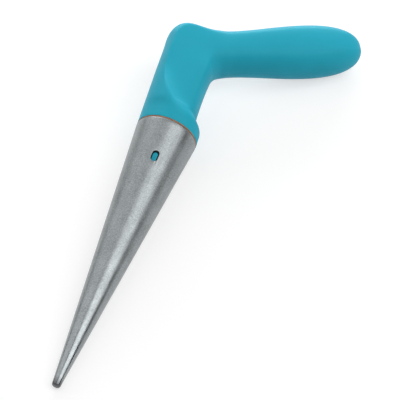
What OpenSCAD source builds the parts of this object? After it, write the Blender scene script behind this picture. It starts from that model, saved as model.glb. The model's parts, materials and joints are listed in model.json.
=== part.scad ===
// Dibber: a hollow metal cone on a moulded pistol grip, lying on its side on a bench.
// The tool frame has its origin where the cone's axis meets the collar's flat seat:
// +z runs up the axis to the handle, +x points to the grip, and -y is the left side.
// lie_down() then lays the whole tool on the bench with its left side up.

/* [Cone] */
// Outer diameter at the mouth of the cone
rim_d = 40; // [36:1:46]
// Length from the mouth to the end of the tip
cone_length = 184; // [150:2:220]
// Outer diameter where the tip starts to round over
tip_d = 5; // [4:0.5:8]
// Sheet thickness of the cone
cone_wall = 1.5; // [1:0.1:2]
// Rounding of the mouth's outer edge
rim_edge_r = 0.4; // [0.2:0.1:0.8]
// Rounding of the tip's edge
tip_edge_r = 1.6; // [1:0.1:2]
// Solid metal left behind the tip's face
tip_solid = 12; // [8:1:20]

/* [Window] */
// Distance from the mouth down to the middle of each window
window_depth = 27; // [24:1:30]
// Length of a window along the cone
window_length = 7.5; // [6:0.5:9]
// Width of a window across the cone
window_width = 4.5; // [3.5:0.5:6]

/* [Seat washer] */
// Thickness of the fibre washer between mouth and collar
washer_t = 0.8; // [0.5:0.1:1.2]
// How far the washer's edge sits back from the cone's outline
washer_recess = 0.2; // [0.1:0.1:0.5]

/* [Plug] */
// How deep the plug reaches below the collar
plug_depth = 40; // [38:1:50]
// Wall of the plug inside the cone
plug_wall = 2.6; // [2:0.2:3.2]
// Gap between the plug and the inside of the cone
plug_gap = 0.3; // [0.2:0.05:0.5]
// Thickness of the web that closes the plug
plug_web = 5; // [3:0.5:7]
// Wall of the plug's open top inside the neck
plug_top_wall = 3; // [2:0.5:4]
// How far the plug's open top stands above the collar
plug_stand = 2; // [1:0.5:3]
// How far the plug's flange stands out into the collar's groove
flange_reach = 1.8; // [1:0.2:2.4]
// Thickness of the flange
flange_t = 4; // [3:0.5:5]
// Draft on the flange's flanks
flange_draft = 0.6; // [0.3:0.1:0.9]
// Radial gap between the plug and the collar's lips and groove
collar_gap = 0.15; // [0.1:0.05:0.3]

/* [Spring tongues] */
// Width of a spring tongue
tongue_width = 9; // [7:0.5:11]
// Depth of a tongue's root below the collar
tongue_root = 11; // [9:0.5:14]
// Gap round a tongue in its slot
slot_gap = 0.6; // [0.4:0.1:1]
// Radius of the round root that a tongue bends about
root_r = 1; // [0.8:0.1:1.2]
// Clearance between the round root and its seat
root_gap = 0.3; // [0.2:0.05:0.4]
// How far a lug's face lies below the cone's outer surface
lug_recess = 0.7; // [0.5:0.1:1]
// Clearance between a lug and the edge of its window
lug_gap = 0.45; // [0.3:0.05:0.7]
// Slope of the lead-in on a lug's lower half
lug_ramp = 20; // [10:1:30]

/* [Neck] */
// Height of the collar band that runs flush with the cone
collar_height = 8.5; // [7.5:0.5:10]
// How far the collar's back edge draws in at its top
collar_tuck = 0.6; // [0:0.1:1.2]
// Wall of the collar outside its groove
collar_wall = 2.8; // [2.4:0.1:3.4]
// Outward lean of the neck's front edge
front_lean = 4.4; // [2:0.2:5]
// Distance from the cone's axis to the back of the neck
neck_back = 12.2; // [11:0.2:14]
// How much further back the neck still reaches at its throat, just above the collar
throat_flare = 1.8; // [1:0.2:3]
// Height of the throat, where the neck has drawn in behind the collar and the thumb flats run out
throat_height = 14; // [13:0.5:16]
// Height at which the thumb flats reach their full depth
flats_height = 42; // [38:1:44]
// Width across the two thumb flats
flats_width = 33; // [28:0.5:35]
// Turn of the flats towards the back, at their full depth
flats_turn = 0; // [-3:1:8]
// Turn of the flats towards the back, where they run out at the throat
runout_turn = 20; // [8:1:24]
// Depth of the flats below their outer edge, which rises to a ridge
flats_dish = 0.5; // [0.2:0.1:1]
// Width of the rise to that ridge
ridge_width = 6.5; // [5:0.5:8]

/* [Head] */
// Height of the top of the head's front above the collar's seat
head_height = 82.6; // [80:0.2:88]
// Rounding of the head's front
head_r = 10; // [8:0.5:12]
// How far the head's front draws in from the line of the neck
head_tuck = 0.4; // [0:0.2:2]
// Height of the saddle between the head and the grip
saddle_height = 83.6; // [82:0.2:88]
// Distance from the cone's axis forward to the saddle
saddle_front = 3.4; // [2:0.2:6]
// Inside radius between the neck and the grip
corner_r = 14; // [10:1:16]

/* [Grip] */
// Rise of the grip above a right angle to the cone
grip_rise = 28; // [24:1:32]
// Height at which the grip's centre line crosses the cone's axis
grip_height = 67.2; // [65:0.2:70]
// Length of the grip from the cone's axis to its round end
grip_length = 108.5; // [98:0.5:120]
// Height of the grip's slim waist
waist_h = 28.2; // [26:0.2:32]
// Width of the grip's slim waist
waist_w = 29; // [26:0.5:32]
// Distance from the cone's axis to the waist
waist_at = 18; // [16:1:22]
// Height of the grip's belly
belly_h = 34.4; // [32:0.2:40]
// Width of the grip's belly
belly_w = 32; // [28:0.5:36]
// Distance from the belly's fullest place to the grip's end
belly_to_end = 40; // [30:1:44]

/* [Shells] */
// Wall of the two handle shells
shell_wall = 3; // [2.4:0.2:3.6]

/* [Hidden] */
$fn = 72;
past = 1;
metal = "silver";
teal = [0.19, 0.64, 0.73];
fibre = [0.60, 0.38, 0.22];

// Cone: outer and bore radius at a height in the tool frame
rim_r = rim_d / 2;
tip_r = tip_d / 2;
mouth_z = -washer_t;
tip_z = mouth_z - cone_length;
cone_slope = (rim_r - tip_r) / cone_length;
half_angle = atan(cone_slope);
window_z = mouth_z - window_depth;
arc_steps = 8;
function cone_r(z) = rim_r + cone_slope * (z - mouth_z);
function cone_bore_r(z) = cone_r(z) - cone_wall / cos(half_angle);
function arc(centre, r, from, to) =
    [for (k = [0:arc_steps]) let (a = from + (to - from) * k / arc_steps) centre + r * [cos(a), sin(a)]];

// Collar and plug: the plug's flange is held in a groove between two lips
groove_z = (collar_height - flange_t) / 2;
groove_top_z = groove_z + flange_t;
plug_top_z = collar_height + plug_stand;
groove_r = rim_r - collar_wall;
flange_r = groove_r - collar_gap;
plug_neck_r = flange_r - flange_reach;
lip_r = plug_neck_r + collar_gap;
washer_bore_r = flange_r + collar_gap;
plug_foot_z = -plug_depth;
web_z = mouth_z - plug_web / 2;
function plug_r(z) = cone_bore_r(z) - plug_gap;

// Spring tongues: the bending axis runs along x through each round root
root_z = -tongue_root;
root_y = sqrt(pow(plug_r(root_z), 2) - pow(tongue_width / 2, 2)) - root_r;
tongue_top_z = root_z - root_gap;
tongue_foot_z = plug_foot_z + past;
lug_face_y = cone_r(window_z) - lug_recess;
lug_foot_y = plug_r(window_z) - plug_wall / 2;

// Handle loft: a station is [outer x, outer z, inner x, inner z, half width of the round section,
// half width at the edge of the flats, turn of the flats, crispness of that edge, fall from it to the floor]
ridge_power = 50;
grip_power = 8;
side_fullness = 1.15;
end_power = 2.4;
neck_steps = 4;
neck_gather = 1.5;
sink_power = 1.7;
floor_power = 0.5;
steps_between = 3;
half_ring_steps = 30;
round_steps = 12;
edge_gather = 1.5;
edge_limit = 80;
flat_start = 1.2;
flat_fade = 0.25;
swell_steps = 7;
end_steps = 9;
end_turn = 82;
grip_axis = [cos(grip_rise), sin(grip_rise)];
grip_up = [-sin(grip_rise), cos(grip_rise)];
belly_at = grip_length - belly_to_end;
flats_half = flats_width / 2;
no_flats = 2 * rim_r;
function mix(a, b, t) = a + (b - a) * t;
function ease(t) = t * t * (3 - 2 * t);
function neck_r(z) = rim_r + z * tan(front_lean);
function grip_point(along, up) = [0, grip_height] + along * grip_axis + up * grip_up;

// A full ellipse that is squared off a little at its sides
function squared(half) =
    let (b = half * pow(pow(side_fullness, grip_power) + 1, 1 / grip_power) / side_fullness)
    [side_fullness * b, b];

// Neck stations lie level; the flats graze the round neck at the throat and sink to their depth above it.
// Their floor falls away from their outer edge, most of all where they run out, so the edge stands as a ridge
function sunk(z) = 1 - pow((flats_height - z) / (flats_height - throat_height), sink_power);
function neck_station(z, back, inset) =
    let (edge_half = mix(neck_r(throat_height), flats_half, sunk(z)), cut = max(sunk(z), 0))
    [-neck_r(z) + inset, z, back - inset, z, neck_r(z) - inset, edge_half - inset,
     mix(runout_turn, flats_turn, cut), ridge_power,
     pow(cut, floor_power) * (edge_half - flats_half + flats_dish)];
function collar_station(z) = neck_station(z, rim_r - collar_tuck * z / collar_height, 0);
function neck_upper(inset) = [for (k = [0:neck_steps])
    let (z = mix(throat_height, flats_height, pow(k / neck_steps, neck_gather)))
    neck_station(z, neck_back + throat_flare * (1 - sunk(z)), inset)];

// Head stations fan round the inside corner, an arc between the neck's back and the grip's underside
corner_x = neck_back + corner_r;
corner_end = 90 + grip_rise;
corner_z = grip_height + corner_x * tan(grip_rise) - (waist_h / 2 + corner_r) / cos(grip_rise);
function corner_point(t) =
    let (a = mix(180, corner_end, t)) [corner_x, corner_z] + corner_r * [cos(a), sin(a)];
head_front_z = head_height - head_r;
head_centre = [head_tuck + head_r - neck_r(head_front_z), head_front_z];
head_turn = 116;
head_points = [
    [head_tuck / 2 - neck_r(corner_z + head_r), corner_z + head_r],
    head_centre + head_r * [cos(180), sin(180)],
    head_centre + head_r * [cos(head_turn), sin(head_turn)],
    [-saddle_front, saddle_height]];
function head_station(k, inset) =
    let (t = k / len(head_points), o = head_points[k], i = corner_point(t),
         in = (i - o) / norm(i - o) * inset, waist = squared(waist_w / 2))
    [o.x + in.x, o.y + in.y, i.x - in.x, i.y - in.y, mix(neck_r(corner_z), waist[0], t) - inset,
     mix(flats_half, waist[1], t) - inset, mix(flats_turn, 0, t), mix(ridge_power, grip_power, t),
     mix(flats_dish, 0, t)];
function head(inset) = [for (k = [0:len(head_points) - 1]) head_station(k, inset)];

// Grip stations stand square to the grip's centre line and swell from the waist to the belly
function grip_station(along, half_h, half_w) =
    let (o = grip_point(along, half_h), i = grip_point(along, -half_h), half = squared(half_w))
    [o.x, o.y, i.x, i.y, half[0], half[1], 0, grip_power, 0];
function swell(inset) = [for (k = [0:swell_steps]) let (t = k / swell_steps)
    grip_station(mix(waist_at, belly_at, t),
        mix(waist_h, belly_h, ease(t)) / 2 - inset, mix(waist_w, belly_w, ease(t)) / 2 - inset)];
function round_end(inset) = [for (k = [1:end_steps]) let (a = end_turn * k / end_steps,
    shrink = pow(1 - pow(sin(a), end_power), 1 / end_power))
    grip_station(belly_at + (belly_to_end - inset) * sin(a),
        (belly_h / 2 - inset) * shrink, (belly_w / 2 - inset) * shrink)];
function grip_end(inset) = let (p = grip_point(grip_length - inset, 0)) [p.x, 0, p.y];

// A smooth run of stations through the ones that are set above
function through(p0, p1, p2, p3, t) = 0.5 * (2 * p1 + (p2 - p0) * t
    + (2 * p0 - 5 * p1 + 4 * p2 - p3) * t * t + (3 * p1 - p0 - 3 * p2 + p3) * t * t * t);
function smooth_run(s) = [for (k = [0:len(s) - 2], j = [0:steps_between - 1])
    through(s[max(k - 1, 0)], s[k], s[k + 1], s[min(k + 2, len(s) - 1)], j / steps_between), s[len(s) - 1]];

// Half a ring on the right side, from the outer edge round to the inner edge. Where it has a flat, its points
// gather along the flat's two edges, so that each edge is a clean line along the neck. The outer one is crisp
function soft_min(q, limit, power) = q / pow(1 + pow(q / limit, power), 1 / power);
function gathered(t) = 1 - pow(1 - t, edge_gather);
function flat_angle(k, first, last) = let (left = half_ring_steps - k)
    k <= round_steps ? first * gathered(k / round_steps)
    : left <= round_steps ? 180 - (180 - last) * gathered(left / round_steps)
    : mix(first, last, ease((k - round_steps) / (half_ring_steps - 2 * round_steps)));
function half_ring(s) =
    let (mid = [s[0] + s[2], s[1] + s[3]] / 2, arm = [s[0] - s[2], s[1] - s[3]] / 2,
         lean = norm(arm) * tan(s[6]), bias = atan2(lean, s[4]), share = s[5] / norm([s[4], lean]),
         edge = share < sin(edge_limit) ? asin(share) : edge_limit,
         follow = min(max((flat_start - share) / flat_fade, 0), 1))
    [for (k = [0:half_ring_steps]) let (
        a = mix(180 * k / half_ring_steps, flat_angle(k, bias + edge, bias + 180 - edge), follow),
        at = mid + arm * cos(a), power = mix(grip_power, s[7], (1 + cos(a)) / 2),
        fall = s[8] * (1 - pow(max(1 - norm(arm) * (cos(bias + edge) - cos(a)) / ridge_width, 0), 2)),
        side = k % half_ring_steps == 0 ? 0
            : soft_min(s[4] * sin(a), s[5] + lean * cos(a) - max(fall, 0), power))
        [at.x, side, at.y]];
function level_circle(r, z) = [-r, z, r, z, r, no_flats, 0, ridge_power, 0];

// Skin stations run from the collar's seat to the grip's end, outer and inner skin in step
groove_profile = [[lip_r, 0], [lip_r, groove_z], [groove_r, groove_z + flange_draft],
    [groove_r, groove_top_z - flange_draft], [lip_r, groove_top_z]];
function rest_of(list, from) = [for (k = [from:len(list) - 1]) list[k]];
function above_collar(inset) = concat(neck_upper(inset), head(inset), [swell(inset)[0]]);
function along_grip(inset) = concat(rest_of(swell(inset), 1), round_end(inset));
outer_run = smooth_run(concat([collar_station(0), collar_station(collar_height)], above_collar(0)));
outer_skin = concat([for (p = groove_profile) collar_station(p.y)],
    rest_of(outer_run, steps_between), along_grip(0));
lip_top = level_circle(lip_r, plug_top_z);
hollow_run = smooth_run(above_collar(shell_wall));
inner_skin = concat(
    [for (p = groove_profile) level_circle(p.x, p.y)],
    [for (k = [0:steps_between - 1]) mix(lip_top, hollow_run[0], k / steps_between)],
    hollow_run, along_grip(shell_wall));
outer_rings = [for (s = outer_skin) half_ring(s)];
inner_rings = [for (s = inner_skin) half_ring(s)];

// Resting roll: the tool lies on the cone and rolls until the grip's belly meets the bench
most_roll = 30;
halvings = 14;
first_grip_ring = len(outer_rings) - end_steps - swell_steps;
function above_bench(p, roll) = (cone_r(0) - p.x * sin(roll) - p.y * cos(roll)) * cos(half_angle)
    + p.z * sin(half_angle);
function lowest(roll) = min([for (k = [first_grip_ring:len(outer_rings) - 1], p = outer_rings[k])
    above_bench(p, roll)]);
function settle(low, high, rounds) = let (mid = (low + high) / 2)
    rounds == 0 ? mid : lowest(mid) > 0 ? settle(mid, high, rounds - 1) : settle(low, mid, rounds - 1);
rest_roll = settle(0, most_roll, halvings);

module lie_down() {
    translate([0, -cone_r(0) * sin(half_angle), cone_r(0) * cos(half_angle)])
        rotate([half_angle - 90, 0, 0]) rotate([0, 0, rest_roll]) children();
}

// Outline of a window or a lug: a slot with round ends, long in y
module slot_outline(length, width) {
    square([width, length - width], center = true);
    for (end = [-1, 1]) translate([0, end * (length - width) / 2]) circle(d = width);
}

// Stands a flat outline on its edge and pushes it out along +y, between two distances
module push_right(from, to) {
    translate([0, from, 0]) rotate([90, 0, 0]) mirror([0, 0, 1]) linear_extrude(to - from) children();
}

module cone() {
    rim_corner = [cone_r(mouth_z - rim_edge_r) - rim_edge_r, mouth_z - rim_edge_r];
    tip_corner = [cone_r(tip_z + tip_edge_r) - tip_edge_r, tip_z + tip_edge_r];
    bore_end_z = tip_z + tip_solid;
    color(metal) lie_down() difference() {
        rotate_extrude() polygon(concat(
            [[0, tip_z]], arc(tip_corner, tip_edge_r, -90, 0), arc(rim_corner, rim_edge_r, 0, 90),
            [[cone_bore_r(mouth_z), mouth_z], [cone_bore_r(bore_end_z), bore_end_z], [0, bore_end_z]]));
        translate([0, 0, window_z]) push_right(-rim_d, rim_d) slot_outline(window_length, window_width);
    }
}

module seat_washer() {
    color(fibre) lie_down() translate([0, 0, mouth_z]) difference() {
        cylinder(h = washer_t, r = rim_r - washer_recess);
        translate([0, 0, -past]) cylinder(h = washer_t + 2 * past, r = washer_bore_r);
    }
}

// The plug's wall below the web, as a tapered tube between two heights
module plug_tube(low, high) {
    rotate_extrude() polygon([[plug_r(low) - plug_wall, low], [plug_r(low), low],
        [plug_r(high), high], [plug_r(high) - plug_wall, high]]);
}

module plug() {
    slot_w = tongue_width + 2 * slot_gap;
    web_top_z = web_z + plug_web;
    top_bore_r = plug_neck_r - plug_top_wall;
    color(teal) lie_down() difference() {
        union() {
            plug_tube(plug_foot_z, web_z);
            rotate_extrude() polygon([[0, web_z], [plug_r(web_z), web_z], [plug_r(mouth_z), mouth_z],
                [flange_r, mouth_z], [flange_r, 0], [plug_neck_r, 0], [plug_neck_r, groove_z],
                [flange_r, groove_z + flange_draft], [flange_r, groove_top_z - flange_draft],
                [plug_neck_r, groove_top_z],
                [plug_neck_r, plug_top_z], [top_bore_r, plug_top_z], [top_bore_r, web_top_z],
                [0, web_top_z]]);
        }
        for (side = [0, 1]) mirror([0, side, 0]) {
            translate([-slot_w / 2, 0, plug_foot_z - past])
                cube([slot_w, rim_r, root_z - plug_foot_z + past]);
            translate([-slot_w / 2, root_y, root_z]) rotate([0, 90, 0])
                cylinder(h = slot_w, r = root_r + root_gap);
        }
    }
}

// A tongue is a strip of the plug's wall with a round root, and a lug that looks out of the window
module tongue() {
    intersection() {
        plug_tube(tongue_foot_z, tongue_top_z);
        translate([-tongue_width / 2, 0, plug_foot_z]) cube([tongue_width, rim_r, plug_depth]);
    }
    translate([-tongue_width / 2, root_y, root_z]) rotate([0, 90, 0]) cylinder(h = tongue_width, r = root_r);
    translate([-tongue_width / 2, root_y - root_r, tongue_top_z - root_r])
        cube([tongue_width, 2 * root_r, root_r + root_gap]);
    difference() {
        translate([0, 0, window_z]) push_right(lug_foot_y, lug_face_y)
            slot_outline(window_length - 2 * lug_gap, window_width - 2 * lug_gap);
        translate([-rim_r, lug_face_y, window_z]) rotate([-lug_ramp, 0, 0]) translate([0, 0, -rim_r])
            cube([rim_d, rim_r, rim_r]);
    }
}

module left_tongue() { color(teal) lie_down() mirror([0, 1, 0]) tongue(); }
module right_tongue() { color(teal) lie_down() tongue(); }

// One handle shell: outer and inner skin, the split face on the mid plane, and the collar's flat seat
module half_shell() {
    ring = half_ring_steps + 1;
    top = len(outer_rings) - 1;
    outer_end = len(outer_rings) * ring;
    inner_start = outer_end + 1;
    inner_end = inner_start + outer_end;
    points = concat([for (r = outer_rings, p = r) p], [grip_end(0)],
        [for (r = inner_rings, p = r) p], [grip_end(shell_wall)]);
    function out(k, j) = k * ring + j;
    function in(k, j) = inner_start + k * ring + j;
    function quad(a, b, c, d) = [[a, b, c], [a, c, d]];
    round = [0:half_ring_steps - 1];
    along = [0:top - 1];
    back = half_ring_steps;
    faces = concat(
        [for (k = along, j = round) each quad(out(k, j), out(k, j + 1), out(k + 1, j + 1), out(k + 1, j))],
        [for (k = along, j = round) each quad(in(k, j), in(k + 1, j), in(k + 1, j + 1), in(k, j + 1))],
        [for (j = round) each quad(out(0, j + 1), out(0, j), in(0, j), in(0, j + 1))],
        [for (j = round) each [[out(top, j), out(top, j + 1), outer_end],
                               [in(top, j), inner_end, in(top, j + 1)]]],
        [for (k = along) each quad(out(k, 0), out(k + 1, 0), in(k + 1, 0), in(k, 0))],
        [for (k = along) each quad(out(k + 1, back), out(k, back), in(k, back), in(k + 1, back))],
        quad(out(top, 0), outer_end, inner_end, in(top, 0)),
        quad(outer_end, out(top, back), in(top, back), inner_end));
    polyhedron(points, faces, convexity = 6);
}

module left_shell() { color(teal) lie_down() mirror([0, 1, 0]) half_shell(); }
module right_shell() { color(teal) lie_down() half_shell(); }

cone();
seat_washer();
plug();
left_tongue();
right_tongue();
left_shell();
right_shell();
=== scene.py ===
# %% [markdown]
# # A hand dibber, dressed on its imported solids
# A dibber makes planting holes: a tapered metal cone is pushed into the soil by a pistol-grip handle.
# The solids already have their real sizes and places. This lesson gives each one that shows a finer mesh,
# gives all of them the finish of the real piece, and then sets up a small studio to look at the tool from
# above.

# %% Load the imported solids
import json
import math
import bmesh
import bpy
from mathutils import Matrix, Vector


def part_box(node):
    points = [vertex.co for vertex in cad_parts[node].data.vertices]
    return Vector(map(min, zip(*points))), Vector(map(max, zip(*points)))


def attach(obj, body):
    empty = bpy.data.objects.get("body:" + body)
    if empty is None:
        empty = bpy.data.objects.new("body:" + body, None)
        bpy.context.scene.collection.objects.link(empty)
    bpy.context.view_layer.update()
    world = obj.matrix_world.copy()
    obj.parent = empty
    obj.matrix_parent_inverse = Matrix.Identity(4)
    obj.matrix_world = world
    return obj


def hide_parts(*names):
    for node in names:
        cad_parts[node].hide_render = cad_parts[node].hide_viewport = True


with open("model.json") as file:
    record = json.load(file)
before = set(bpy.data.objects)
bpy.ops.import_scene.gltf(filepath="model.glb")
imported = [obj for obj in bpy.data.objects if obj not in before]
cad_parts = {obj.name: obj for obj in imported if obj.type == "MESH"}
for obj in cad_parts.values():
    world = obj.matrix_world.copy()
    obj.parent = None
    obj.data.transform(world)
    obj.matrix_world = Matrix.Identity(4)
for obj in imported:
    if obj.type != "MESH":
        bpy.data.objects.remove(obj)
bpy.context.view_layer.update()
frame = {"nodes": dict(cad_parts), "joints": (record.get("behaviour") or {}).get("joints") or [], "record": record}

print("solids:", sorted(frame["nodes"]))

# %% [markdown]
# ## The tool's own axes
# The tool lies on its side, so its cone runs downhill to the tip. Turned pieces are easiest to model
# upright, on a straight axis, and to lay down when they are done. The lying pose could be typed in as
# angles. It is read from the record instead, where one mount gives the cone's axis, the tongue's hinge
# gives the direction of the grip, and the middle of the seat washer gives the height along the axis.

# %% Find the lying pose
MM = 0.001
hair = 0.001 * MM
washer_thickness = 0.8 * MM
mounts = {mount["name"]: mount for mount in frame["record"]["mounts"]}
hinges = {joint["name"]: joint for joint in frame["joints"]}

axis_up = Vector(mounts["rack_hole"]["axis"]).normalized()
grip_side = Vector(hinges["left_tongue_press"]["axis"]).normalized()
far_side = axis_up.cross(grip_side)
washer_low, washer_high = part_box("seat_washer")
seat = (washer_low + washer_high) / 2 + axis_up * washer_thickness / 2

tool_to_bench = Matrix((grip_side, far_side, axis_up)).transposed().to_4x4()
tool_to_bench.translation = seat
print("collar seat at", tuple(round(value, 5) for value in seat))

# %% [markdown]
# ## Helpers for selecting and laying down
# Operators act on whatever is selected, so one helper leaves only one piece selected, and another selects
# vertices by their place. The others lay a finished piece down, or stand a lying one up to work on it, and
# apply its place, so that the object itself stays at the origin.

# %% Selecting and laying down
def only(piece):
    bpy.ops.object.select_all(action="DESELECT")
    piece.select_set(True)
    bpy.context.view_layer.objects.active = piece


def select_where(piece, test):
    shape = bmesh.from_edit_mesh(piece.data)
    bpy.ops.mesh.select_all(action="DESELECT")
    for vertex in shape.verts:
        vertex.select_set(test(vertex.co))
    shape.select_flush(True)
    bmesh.update_edit_mesh(piece.data)


def move_by(piece, pose):
    only(piece)
    bpy.ops.object.transform_apply(location=True, rotation=True, scale=True)
    piece.matrix_world = pose
    bpy.ops.object.transform_apply(location=True, rotation=True, scale=True)


def lie_down(piece):
    move_by(piece, tool_to_bench)


def stand_up(piece):
    move_by(piece, tool_to_bench.inverted())


def triangles(piece):
    return sum(len(face.vertices) - 2 for face in piece.data.polygons)

# %% [markdown]
# ## Turning a profile
# The cone and its washer are round. A lathe works from a profile, and so does this helper: a circle is
# extruded and scaled from one pair of radius and height to the next. Spinning a drawn profile would give
# the same rings, but a circle needs no loose vertices to start from and leaves no seam to merge.

# %% Turn rings from a profile
def turn_rings(name, profile, steps):
    bpy.ops.object.select_all(action="DESELECT")
    radius, height = profile[0]
    bpy.ops.mesh.primitive_circle_add(vertices=steps, radius=radius)
    piece = bpy.context.object
    piece.name = piece.data.name = name
    bpy.ops.object.mode_set(mode="EDIT")
    bpy.ops.mesh.select_all(action="SELECT")
    bpy.ops.transform.translate(value=(0, 0, height))
    for next_radius, next_height in profile[1:]:
        bpy.ops.mesh.extrude_region_move(
            TRANSFORM_OT_translate={"value": (0, 0, next_height - height)})
        change = next_radius / radius
        bpy.ops.transform.resize(value=(change, change, 1), center_override=(0, 0, next_height))
        radius, height = next_radius, next_height
    return piece


def arc(radius, centre_radius, centre_height, start, end, steps):
    turns = [math.radians(start + (end - start) * step / steps) for step in range(steps + 1)]
    points = [(radius * math.cos(turn), radius * math.sin(turn)) for turn in turns]
    return [(centre_radius + across, centre_height + up) for across, up in points]

# %% [markdown]
# ## The cone
# The real cone is thin sheet metal drawn to a taper, with a softened rim, a small blunt tip and solid
# metal for the last few millimetres. Its profile runs from the middle of the tip up the outside, over
# the rim and down the bore. The band round the windows gets no rings, so that they are cut from large
# clean faces.

# %% Turn the cone
rim_radius, tip_radius = 20 * MM, 2.5 * MM
cone_length, cone_wall = 184 * MM, 1.5 * MM
rim_edge, tip_edge, tip_solid = 0.8 * MM, 1.6 * MM, 12 * MM
mouth = -washer_thickness
tip = mouth - cone_length
taper = (rim_radius - tip_radius) / cone_length
wall_across = cone_wall * math.sqrt(1 + taper * taper)
window_centre = mouth - 27 * MM
start_radius, round_steps = 0.2 * MM, 128


def cone_radius(height):
    return rim_radius + taper * (height - mouth)


tip_bend = arc(tip_edge, cone_radius(tip + tip_edge) - tip_edge, tip + tip_edge, -90, 0, 6)
rim_bend = arc(rim_edge, cone_radius(mouth - rim_edge) - rim_edge, mouth - rim_edge, 0, 90, 4)
below_windows, above_windows = tip + 150 * MM, window_centre + 5.5 * MM
side_heights = [tip + length * MM for length in (6, 20, 40, 60, 80, 100, 120, 140)]
side_heights += [below_windows, above_windows, mouth - 12 * MM, mouth - 3 * MM]
side = [(cone_radius(height), height) for height in side_heights]
bore_heights = [mouth, mouth - 12 * MM, above_windows, below_windows, tip + 80 * MM, tip + tip_solid]
bore = [(cone_radius(height) - wall_across, height) for height in bore_heights]
cone_profile = [(start_radius, tip)] + tip_bend + side + rim_bend + bore
cone = turn_rings("tapered_cone", cone_profile, round_steps)
print("cone:", len(cone_profile), "rings of", round_steps, "points")

# %% Close the bore and the tip
bpy.ops.mesh.merge(type="CENTER")
select_where(cone, lambda place: place.z < tip + hair and place.xy.length < 1.5 * start_radius)
bpy.ops.mesh.edge_face_add()
bpy.ops.mesh.select_all(action="SELECT")
bpy.ops.mesh.normals_make_consistent(inside=False)
bpy.ops.object.mode_set(mode="OBJECT")
print("cone:", len(cone.data.polygons), "faces before the windows")

# %% [markdown]
# ## The windows in the cone
# Two round-ended slots face each other near the mouth, and the handle's spring lugs snap into them. A
# slot is a circle whose halves are moved apart, pushed through both walls. Drawing it on the curved wall
# by hand would bend its outline, so a Boolean modifier cuts it, and its edges are then broken a little,
# as a press tool and tumbling leave them.

# %% Make the punch
window_length, window_width = 7.5 * MM, 4.5 * MM
punch_sides, punch_reach = 40, 30 * MM

bpy.ops.object.select_all(action="DESELECT")
bpy.ops.mesh.primitive_circle_add(vertices=punch_sides, radius=window_width / 2, fill_type="NGON")
punch = bpy.context.object
bpy.ops.object.mode_set(mode="EDIT")
bpy.ops.mesh.select_all(action="SELECT")
bpy.ops.transform.rotate(value=math.pi / punch_sides, orient_axis="Z", center_override=(0, 0, 0))
for end in (1, -1):
    select_where(punch, lambda place: place.y * end > 0)
    bpy.ops.transform.translate(value=(0, end * (window_length - window_width) / 2, 0))
bpy.ops.mesh.select_all(action="SELECT")
bpy.ops.transform.translate(value=(0, 0, -punch_reach))
bpy.ops.mesh.extrude_region_move(TRANSFORM_OT_translate={"value": (0, 0, 2 * punch_reach)})
bpy.ops.mesh.select_all(action="SELECT")
bpy.ops.mesh.normals_make_consistent(inside=False)
bpy.ops.object.mode_set(mode="OBJECT")
punch.matrix_world = Matrix.Translation((0, 0, window_centre)) @ Matrix.Rotation(math.pi / 2, 4, "X")
print("punch:", len(punch.data.polygons), "faces")

# %% Cut the windows
only(cone)
cut = cone.modifiers.new("windows", "BOOLEAN")
cut.operation, cut.solver, cut.object = "DIFFERENCE", "EXACT", punch
bpy.ops.object.modifier_apply(modifier=cut.name)
bpy.data.objects.remove(punch)
print("cone:", len(cone.data.polygons), "faces with the windows")

# %% Break the windows' edges
broken_edge, sharp = 0.12 * MM, 50

bpy.ops.object.mode_set(mode="EDIT")
shape = bmesh.from_edit_mesh(cone.data)
bpy.ops.mesh.select_all(action="DESELECT")
bpy.context.tool_settings.mesh_select_mode = (False, True, False)
for edge in shape.edges:
    ends = [vertex.co for vertex in edge.verts]
    near = all(abs(end.z - window_centre) < window_length and abs(end.x) < window_width for end in ends)
    edge.select_set(near and edge.calc_face_angle(0) > math.radians(sharp))
window_edges = sum(edge.select for edge in shape.edges)
bmesh.update_edit_mesh(cone.data)
bpy.ops.mesh.bevel(offset=broken_edge, segments=2, affect="EDGES", clamp_overlap=False)
bpy.context.tool_settings.mesh_select_mode = (True, False, False)
bpy.ops.object.mode_set(mode="OBJECT")
print("window edges softened:", window_edges)

# %% Lay the cone down
lie_down(cone)
bpy.ops.object.shade_smooth_by_angle(angle=math.radians(30))
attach(cone, "body")
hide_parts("cone")
print("cone:", triangles(cone), "triangles")

# %% [markdown]
# ## The seat washer
# A thin ring of red-brown fibre is squeezed between the cone's rim and the collar. Only its edge shows,
# as a fine line. It is punched from sheet, so its outer corners are slightly rounded. The profile is a
# closed loop here, and the last ring is merged with the first.

# %% Turn the washer
washer_bore, washer_outer = 17.2 * MM, 19.8 * MM
corner = 0.12 * MM
washer_profile = [(washer_bore, mouth)]
washer_profile += arc(corner, washer_outer - corner, mouth + corner, -90, 0, 3)
washer_profile += arc(corner, washer_outer - corner, -corner, 0, 90, 3)
washer_profile += [(washer_bore, 0), (washer_bore, mouth)]
washer = turn_rings("fibre_washer", washer_profile, round_steps)
bpy.ops.mesh.select_all(action="SELECT")
bpy.ops.mesh.remove_doubles(threshold=hair)
bpy.ops.mesh.normals_make_consistent(inside=False)
bpy.ops.object.mode_set(mode="OBJECT")

lie_down(washer)
bpy.ops.object.shade_smooth_by_angle(angle=math.radians(40))
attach(washer, "body")
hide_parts("seat_washer")
print("washer:", triangles(washer), "triangles, bore radius", round(washer_bore, 5))

# %% [markdown]
# ## The handle's two shells
# The handle is one smooth moulding to the hand: the collar, the neck with its ridge-edged thumb flats, the
# head and the grip flow into each other. The solid is faceted, because it has to stay light. Its form is
# right, so it is not modelled again: a copy is merged, its triangles are joined to four-sided faces and its
# sharp edges are creased, and a Subdivision Surface rounds everything between them. A fine bevel then
# breaks the edges, so that the two shells meet in the faint parting line that such mouldings have.

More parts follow.
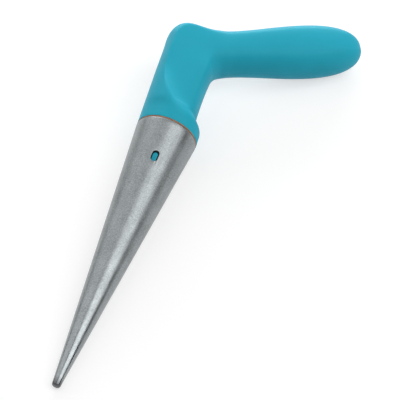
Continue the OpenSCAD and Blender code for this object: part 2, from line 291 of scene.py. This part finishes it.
# %% Copy and merge a solid
def copy_solid(node, name):
    piece = frame["nodes"][node].copy()
    piece.data = piece.data.copy()
    piece.name = piece.data.name = name
    piece.parent = None
    for key in list(piece.keys()):
        del piece[key]
    bpy.context.scene.collection.objects.link(piece)
    only(piece)
    bpy.ops.object.mode_set(mode="EDIT")
    bpy.ops.mesh.select_all(action="SELECT")
    bpy.ops.mesh.remove_doubles(threshold=2 * hair)
    return piece


def apply_bevel(piece, width, angle):
    soft = piece.modifiers.new("soft edges", "BEVEL")
    soft.width, soft.segments = width, 2
    soft.limit_method, soft.angle_limit = "ANGLE", math.radians(angle)
    only(piece)
    bpy.ops.object.modifier_apply(modifier=soft.name)

# %% Round the shells
parting_edge = 0.15 * MM
flat_pair, square_pair = math.radians(25), math.radians(60)

for side_name in ("left", "right"):
    shell = copy_solid(side_name + "_shell", side_name + "_handle_shell")
    bpy.ops.mesh.tris_convert_to_quads(face_threshold=flat_pair, shape_threshold=square_pair)
    bpy.ops.mesh.select_all(action="DESELECT")
    bpy.context.tool_settings.mesh_select_mode = (False, True, False)
    bpy.ops.mesh.edges_select_sharp(sharpness=math.radians(sharp))
    bpy.ops.transform.edge_crease(value=1)
    bpy.context.tool_settings.mesh_select_mode = (True, False, False)
    bpy.ops.object.mode_set(mode="OBJECT")
    rounding = shell.modifiers.new("rounding", "SUBSURF")
    rounding.levels = rounding.render_levels = 1
    bpy.ops.object.modifier_apply(modifier=rounding.name)
    apply_bevel(shell, parting_edge, sharp)
    bpy.ops.object.shade_smooth_by_angle(angle=math.radians(35))
    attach(shell, "body")
    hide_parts(side_name + "_shell")
    print(shell.name, triangles(shell), "triangles")

# %% [markdown]
# ## The spring tongues
# Each tongue is a thin strip of the plug that bends inwards when its lug is pressed through the window.
# It moves, so its piece rides on the tongue's own body. The solid has the right form and hard edges, so
# its flat faces are joined and its edges are rounded as a mould leaves them. The lug is drawn in a little,
# most of all at its upper end, which opens the dark gap that outlines it in the window. That gap is deep
# and narrow, so everything in it but the lug's face is marked, for the material to darken as painted shade.

# %% Find the lug and mark the gap round it for painted shade
plug_gap, lug_stands = 0.3 * MM, 0.1 * MM
lug_half_width, lug_half_length = 2 * MM, 3.5 * MM
faces_out = 0.5


def above_strip(place):
    return abs(place.y) - (cone_radius(place.z) - wall_across - plug_gap)


def on_lug(place):
    in_window = abs(place.x) < lug_half_width and abs(place.z - window_centre) < lug_half_length
    return in_window and above_strip(place) > -lug_stands


# Marks every face in the gap with 1 for painted shade; only the lug's outward faces stay 0.
def mark_gap_painted_shade(piece):
    mark = piece.data.attributes.new("gap_shade", "FLOAT", "FACE")
    for face in piece.data.polygons:
        stands_out = on_lug(face.center) and above_strip(face.center) > lug_stands
        lit = stands_out and abs(face.normal.y) > faces_out
        mark.data[face.index].value = 0 if lit else 1
    return sum(1 for value in mark.data if value.value == 0)


# %% Round the tongues
lug_narrower, lug_shorter = 0.83, 0.87
lug_foot = window_centre - 2 * MM
mould_edge = 0.2 * MM

for side_name in ("left", "right"):
    tongue = copy_solid(side_name + "_tongue", side_name + "_snap_tongue")
    bpy.ops.mesh.dissolve_limited(angle_limit=math.radians(1))
    bpy.ops.object.mode_set(mode="OBJECT")
    stand_up(tongue)
    bpy.ops.object.mode_set(mode="EDIT")
    select_where(tongue, on_lug)
    bpy.ops.transform.resize(value=(lug_narrower, 1, lug_shorter), center_override=(0, 0, lug_foot))
    bpy.ops.object.mode_set(mode="OBJECT")
    apply_bevel(tongue, mould_edge, 40)
    lug_faces = mark_gap_painted_shade(tongue)
    lie_down(tongue)
    bpy.ops.object.shade_smooth_by_angle(angle=math.radians(30))
    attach(tongue, side_name + "_tongue")
    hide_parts(side_name + "_tongue")
    print(tongue.name, triangles(tongue), "triangles, of its faces", lug_faces, "on the lug")

# %% [markdown]
# ## Shared grain
# Every surface here has a fine grain of its own: the texture of a mould, the tumbled skin of the metal,
# the fibres of the washer. One node group gives a noise between two values, and each material places
# it with its own scale. A second group finds raised edges, where handling polishes metal and plastic; on the metal
# they also carry a painted highlight.

# %% Helpers for nodes
def add_node(tree, kind, **values):
    made = tree.nodes.new(kind)
    for name, value in values.items():
        made.inputs[name.replace("_", " ")].default_value = value
    return made


def new_group(name, inputs, output):
    group = bpy.data.node_groups.new(name, "ShaderNodeTree")
    for socket, kind, value in inputs:
        made = group.interface.new_socket(socket, in_out="INPUT", socket_type=kind)
        if value is not None:
            made.default_value = value
    group.interface.new_socket(output, in_out="OUTPUT", socket_type="NodeSocketFloat")
    return group, group.nodes.new("NodeGroupInput"), group.nodes.new("NodeGroupOutput")


# %% Grain group
grain_group, given, result = new_group(
    "surface_grain",
    [("Vector", "NodeSocketVector", None), ("Scale", "NodeSocketFloat", 1000),
     ("Low", "NodeSocketFloat", 0), ("High", "NodeSocketFloat", 1)],
    "Value")
noise = add_node(grain_group, "ShaderNodeTexNoise", Detail=3, Roughness=0.6)
spread = add_node(grain_group, "ShaderNodeMapRange", From_Min=0.3, From_Max=0.7)
grain_group.links.new(given.outputs["Vector"], noise.inputs["Vector"])
grain_group.links.new(given.outputs["Scale"], noise.inputs["Scale"])
grain_group.links.new(noise.outputs["Fac"], spread.inputs["Value"])
grain_group.links.new(given.outputs["Low"], spread.inputs["To Min"])
grain_group.links.new(given.outputs["High"], spread.inputs["To Max"])
grain_group.links.new(spread.outputs["Result"], result.inputs["Value"])
print("group:", grain_group.name)

# %% Edge wear and highlight group
wear_and_highlight_group, given, result = new_group(
    "edge_wear_and_highlight",
    [("Start", "NodeSocketFloat", 0.52), ("Full", "NodeSocketFloat", 0.6),
     ("Amount", "NodeSocketFloat", 1)],
    "Mask")
geometry = wear_and_highlight_group.nodes.new("ShaderNodeNewGeometry")
raised = add_node(wear_and_highlight_group, "ShaderNodeMapRange")
wear_and_highlight_group.links.new(geometry.outputs["Pointiness"], raised.inputs["Value"])
wear_and_highlight_group.links.new(given.outputs["Start"], raised.inputs["From Min"])
wear_and_highlight_group.links.new(given.outputs["Full"], raised.inputs["From Max"])
wear_and_highlight_group.links.new(given.outputs["Amount"], raised.inputs["To Max"])
wear_and_highlight_group.links.new(raised.outputs["Result"], result.inputs["Mask"])
print("group:", wear_and_highlight_group.name)

# %% [markdown]
# ## Starting a material
# Each material starts the same way: a Principled BSDF and the piece's Object coordinates, which stay on
# the piece in every pose. Small helpers place a group, mix two colours and add a bump.

# %% Start a material and place a group
def new_material(name):
    material = bpy.data.materials.new(name)
    material.use_nodes = True
    tree = material.node_tree
    coordinates = tree.nodes.new("ShaderNodeTexCoord").outputs["Object"]
    return material, tree, tree.nodes["Principled BSDF"], coordinates


def place_group(tree, group, **values):
    made = tree.nodes.new("ShaderNodeGroup")
    made.node_tree = group
    for name, value in values.items():
        made.inputs[name].default_value = value
    return made


def grain(tree, vector, scale, low, high):
    made = place_group(tree, grain_group, Scale=scale, Low=low, High=high)
    tree.links.new(vector, made.inputs["Vector"])
    return made.outputs["Value"]


# %% Mix, stretch and bump
def mix_colours(tree, factor, first, second, blend="MIX"):
    made = tree.nodes.new("ShaderNodeMix")
    made.data_type, made.blend_type = "RGBA", blend
    tree.links.new(factor, made.inputs["Factor"])
    for socket, colour in (("A", first), ("B", second)):
        wanted = next(s for s in made.inputs if s.name == socket and s.type == "RGBA")
        if isinstance(colour, tuple):
            wanted.default_value = (*colour, 1)
        else:
            tree.links.new(colour, wanted)
    return next(s for s in made.outputs if s.type == "RGBA")


def stretched(tree, vector, scale):
    made = tree.nodes.new("ShaderNodeMapping")
    made.inputs["Scale"].default_value = scale
    tree.links.new(vector, made.inputs["Vector"])
    return made.outputs["Vector"]


def add_bump(tree, height, shader, strength, distance):
    made = add_node(tree, "ShaderNodeBump", Strength=strength, Distance=distance)
    tree.links.new(height, made.inputs["Height"])
    tree.links.new(made.outputs["Normal"], shader.inputs["Normal"])

# %% [markdown]
# ## Turquoise plastic
# The handle is a satin polypropylene-like moulding. Its colour varies only a little, its gloss comes and
# goes with the mould's fine texture, and raised edges are rubbed slightly paler. A plain colour would
# look like a toy render, and strong noise would look like stone, so all three effects are kept faint.

# %% Plastic of the handle, the plug and the tongues
speckle_tone, rubbed_tone = (0.02, 0.42, 0.55), (0.04, 0.46, 0.58)
# The gap tone is painted shade: a near-black for the faces marked in the gap round the lug.
gap_painted_shade_tone = (0.004, 0.020, 0.026)
plastic_gloss = 0.12


def turquoise(name, colour, deep):
    material, tree, shader, coordinates = new_material(name)
    cloud = grain(tree, coordinates, 45, 0, 1)
    tone = mix_colours(tree, cloud, deep, colour)
    speckle = grain(tree, coordinates, 1400, 0, 0.12)
    tone = mix_colours(tree, speckle, tone, speckle_tone)
    rubbed_and_highlit = place_group(tree, wear_and_highlight_group, Start=0.53, Full=0.62, Amount=0.25).outputs["Mask"]
    tone = mix_colours(tree, rubbed_and_highlit, tone, rubbed_tone)
    # Painted shade: faces marked in the deep gap round the lug are mixed towards near-black.
    gap = tree.nodes.new("ShaderNodeAttribute")
    gap.attribute_name = "gap_shade"
    tone = mix_colours(tree, gap.outputs["Fac"], tone, gap_painted_shade_tone)
    tree.links.new(tone, shader.inputs["Base Color"])
    shader.inputs["Specular IOR Level"].default_value = plastic_gloss
    tree.links.new(grain(tree, coordinates, 600, 0.44, 0.56), shader.inputs["Roughness"])
    add_bump(tree, grain(tree, coordinates, 2200, 0, 1), shader, 0.12, 0.02 * MM)
    return material


handle_plastic = turquoise("satin_turquoise", (0.0185, 0.386, 0.522), (0.0165, 0.360, 0.484))
plug_plastic = turquoise("plug_turquoise", (0.018, 0.340, 0.463), (0.016, 0.310, 0.423))
print("plastics:", handle_plastic.name, plug_plastic.name)

# %% [markdown]
# ## Tumbled metal
# The cone is zinc-plated and tumbled, so it is neither polished nor brushed: a close grain breaks up the
# light, faint streaks run along its length from drawing, and patches differ in tone. The soil has rubbed
# the lower half smoother and brighter. The tip is darkened with painted shade, and the rim and window
# edges are painted paler, partly as rubbed wear and partly as a painted highlight.

# %% Grain and tone of the metal
dark_grain, pale_grain = (0.186, 0.201, 0.206), (0.380, 0.411, 0.421)
streak_tone, patch_tone = (0.182, 0.197, 0.202), (0.404, 0.437, 0.448)
# A pale tone for raised edges, partly rubbed wear and partly a painted highlight.
worn_edge_highlight_tone = (0.66, 0.67, 0.67)

cone_metal, tree, shader, coordinates = new_material("tumbled_zinc")
along = stretched(tree, coordinates, (1, 0.04, 1))
close_grain = grain(tree, coordinates, 1300, 0, 1)
tone = mix_colours(tree, close_grain, dark_grain, pale_grain)
tone = mix_colours(tree, grain(tree, along, 420, 0, 0.35), tone, streak_tone)
tone = mix_colours(tree, grain(tree, coordinates, 90, 0, 0.3), tone, patch_tone)
# Wear and painted highlight: raised edges, above all the rim and the window edges, are mixed towards a pale grey.
rubbed_and_highlit = place_group(tree, wear_and_highlight_group, Start=0.54, Full=0.62, Amount=0.85).outputs["Mask"]
tone = mix_colours(tree, rubbed_and_highlit, tone, worn_edge_highlight_tone)
print("metal:", cone_metal.name, "has", len(tree.nodes), "nodes so far")

# %% Polish, painted tip shade and gloss of the metal
polish_starts, polish_full = -90 * MM, -165 * MM
tip_shade_starts, tip_shade_full = -180.5 * MM, -184.5 * MM
# The second tone darkens the tip as painted shade.
polish_gain, painted_tip_shade = (0.018, 0.019, 0.0195), (0.10, 0.10, 0.105)
polish_smooths = 0.13

split = tree.nodes.new("ShaderNodeSeparateXYZ")
tree.links.new(coordinates, split.inputs["Vector"])
polish = add_node(tree, "ShaderNodeMapRange", From_Min=polish_starts, From_Max=polish_full)
tree.links.new(split.outputs["Y"], polish.inputs["Value"])
tone = mix_colours(tree, polish.outputs["Result"], tone, polish_gain, "ADD")
# Painted shade: the last millimetres of the tip are mixed towards a dark grey.
tip_shade_mask = add_node(tree, "ShaderNodeMapRange", From_Min=tip_shade_starts, From_Max=tip_shade_full, To_Max=0.85)
tree.links.new(split.outputs["Y"], tip_shade_mask.inputs["Value"])
tone = mix_colours(tree, tip_shade_mask.outputs["Result"], tone, painted_tip_shade)
tree.links.new(tone, shader.inputs["Base Color"])

smoother = tree.nodes.new("ShaderNodeMath")
smoother.operation = "MULTIPLY_ADD"
smoother.inputs[1].default_value = -polish_smooths
tree.links.new(polish.outputs["Result"], smoother.inputs[0])
tree.links.new(grain(tree, along, 500, 0.34, 0.48), smoother.inputs[2])
tree.links.new(smoother.outputs[0], shader.inputs["Roughness"])
shader.inputs["Metallic"].default_value = 1
add_bump(tree, close_grain, shader, 0.2, 0.03 * MM)
print("metal:", cone_metal.name, "has", len(tree.nodes), "nodes")

# %% [markdown]
# ## Vulcanised fibre
# The washer is pressed from many layers of paper, so its cut edge is matt and finely layered. Stretching
# the grain round the ring would need its own coordinates. The edge is under a millimetre thick, so a
# grain that is squeezed along the axis looks the same.

# %% Fibre of the washer
dark_layer, pale_layer = (0.30, 0.13, 0.055), (0.46, 0.22, 0.10)

fibre, tree, shader, coordinates = new_material("red_fibre")
layers = grain(tree, stretched(tree, coordinates, (1, 6, 1)), 900, 0, 1)
tone = mix_colours(tree, layers, dark_layer, pale_layer)
tree.links.new(tone, shader.inputs["Base Color"])
tree.links.new(grain(tree, coordinates, 1500, 0.65, 0.85), shader.inputs["Roughness"])
add_bump(tree, layers, shader, 0.3, 0.03 * MM)
print("fibre:", fibre.name)

# %% Put the materials on
finishes = {
    "tapered_cone": cone_metal, "fibre_washer": fibre,
    "left_handle_shell": handle_plastic, "right_handle_shell": handle_plastic,
    "left_snap_tongue": plug_plastic, "right_snap_tongue": plug_plastic, "plug": plug_plastic}
for name, material in finishes.items():
    piece = bpy.data.objects[name]
    piece.data.materials.clear()
    piece.data.materials.append(material)
print("finished:", sorted(finishes))

# %% [markdown]
# ## The studio
# The tool was photographed from above on white. The floor is a wide pale sheet. For the camera and for
# reflections it gives part of its white itself, so it reads as white and still shows the tool's shadow.
# A sheet that only gave off light would lose that shadow, and lamps strong enough to burn it white would
# burn the tool as well.

# %% Rays that look
def larger(tree, first, second):
    made = tree.nodes.new("ShaderNodeMath")
    made.operation = "MAXIMUM"
    tree.links.new(first, made.inputs[0])
    tree.links.new(second, made.inputs[1])
    return made.outputs[0]


def looking_rays(tree):
    rays = tree.nodes.new("ShaderNodeLightPath").outputs
    seen_or_mirrored = larger(tree, rays["Is Camera Ray"], rays["Is Glossy Ray"])
    return larger(tree, seen_or_mirrored, rays["Is Transmission Ray"])


# %% Paint for the floor
sheet_grey, seen_grey, own_white = 0.85, 0.44, 0.60

floor_paint = bpy.data.materials.new("white_sheet")
floor_paint.use_nodes = True
tree = floor_paint.node_tree
tree.nodes.remove(tree.nodes["Principled BSDF"])
paper = add_node(tree, "ShaderNodeBsdfDiffuse", Color=(sheet_grey, sheet_grey, sheet_grey, 1))
shaded = add_node(tree, "ShaderNodeBsdfDiffuse", Color=(seen_grey, seen_grey, seen_grey, 1))
white = add_node(tree, "ShaderNodeEmission", Strength=own_white)
seen = tree.nodes.new("ShaderNodeAddShader")
tree.links.new(shaded.outputs[0], seen.inputs[0])
tree.links.new(white.outputs[0], seen.inputs[1])
choice = tree.nodes.new("ShaderNodeMixShader")
tree.links.new(looking_rays(tree), choice.inputs[0])
tree.links.new(paper.outputs[0], choice.inputs[1])
tree.links.new(seen.outputs[0], choice.inputs[2])
tree.links.new(choice.outputs[0], tree.nodes["Material Output"].inputs["Surface"])
print("floor paint:", floor_paint.name)

# %% Floor
bpy.ops.object.select_all(action="DESELECT")
bpy.ops.mesh.primitive_plane_add(size=12)
floor = bpy.context.object
floor.name = "floor"
floor.data.materials.append(floor_paint)
print("floor:", floor.dimensions.x, "m wide")

# %% [markdown]
# ## The light
# Four soft boxes stand round the tool, as in a product studio, and the room itself is nearly dark. The
# one overhead draws the bright stripe along the cone. A narrow one on the right lights its other flank, a
# large one on the left gives its near flank an even tone, and the one behind lights the back of the grip.
# Their size matters more than their number: two smaller boxes on the left drew a second stripe, and lamps
# without any size would leave hard glints on the metal. A bare metal cone shows what it mirrors, so the
# front of the room is pale for whatever looks at it. Seen from behind, the cone would be black otherwise.

# %% Room
dark_room, pale_front = 0.06, 0.5

room = bpy.data.worlds.new("room")
bpy.context.scene.world = room
room.use_nodes = True
tree = room.node_tree
split = tree.nodes.new("ShaderNodeSeparateXYZ")
tree.links.new(tree.nodes.new("ShaderNodeTexCoord").outputs["Generated"], split.inputs["Vector"])
front = add_node(tree, "ShaderNodeMapRange", From_Min=0.1, From_Max=-0.6, To_Max=pale_front)
tree.links.new(split.outputs["Y"], front.inputs["Value"])
strength = tree.nodes.new("ShaderNodeMath")
strength.operation = "MULTIPLY_ADD"
strength.inputs[2].default_value = dark_room
tree.links.new(looking_rays(tree), strength.inputs[0])
tree.links.new(front.outputs["Result"], strength.inputs[1])
tree.nodes["Background"].inputs["Color"].default_value = (1, 1, 1, 1)
tree.links.new(strength.outputs[0], tree.nodes["Background"].inputs["Strength"])
print("room:", room.name)

# %% Soft boxes
middle_of_tool = Vector((0.02, -0.03, 0.02))


def soft_box(name, location, width, length, power):
    lamp = bpy.data.lights.new(name, "AREA")
    lamp.shape, lamp.size, lamp.size_y, lamp.energy = "RECTANGLE", width, length, power
    box = bpy.data.objects.new(name, lamp)
    bpy.context.scene.collection.objects.link(box)
    box.location = location
    box.rotation_euler = (middle_of_tool - Vector(location)).to_track_quat("-Z", "Y").to_euler()
    print(name, "at", location)


soft_box("overhead_box", (0.57, -0.03, 1.14), width=1.3, length=0.85, power=8.1)
soft_box("right_box", (1.02, 0.11, 0.75), width=1.4, length=0.4, power=4.2)
soft_box("left_box", (-0.80, 0.11, 0.96), width=1.4, length=2.0, power=9.0)
soft_box("back_box", (-0.35, 1.12, 0.34), width=1.3, length=0.45, power=14.0)

# %% [markdown]
# ## The camera
# A long lens keeps the taper honest. The place and direction come from fitting the tool's outline to the
# photograph, which also shows a camera that is turned by less than half a degree.

# %% Find the camera's pose
look_back = Vector((0.2020, -0.5844, 0.7859)).normalized()
turn = math.radians(-0.39)
level = Vector((0, 0, 1)).cross(look_back).normalized()
upright = look_back.cross(level)
right = math.cos(turn) * level - math.sin(turn) * upright
up = math.cos(turn) * upright + math.sin(turn) * level

camera_pose = Matrix((right, up, look_back)).transposed().to_4x4()
camera_pose.translation = (0.22187, -0.57836, 0.73867)
print("camera turned by", round(math.degrees(turn), 2), "degrees")

# %% Place the camera
lens_length, sensor_width = 135, 36

camera = bpy.data.objects.new("camera", bpy.data.cameras.new("camera"))
bpy.context.scene.collection.objects.link(camera)
camera.matrix_world = camera_pose
camera.data.lens, camera.data.sensor_width = lens_length, sensor_width
bpy.context.scene.camera = camera
bpy.context.scene.view_settings.view_transform = "Standard"
print("camera at", tuple(round(value, 3) for value in camera.location))
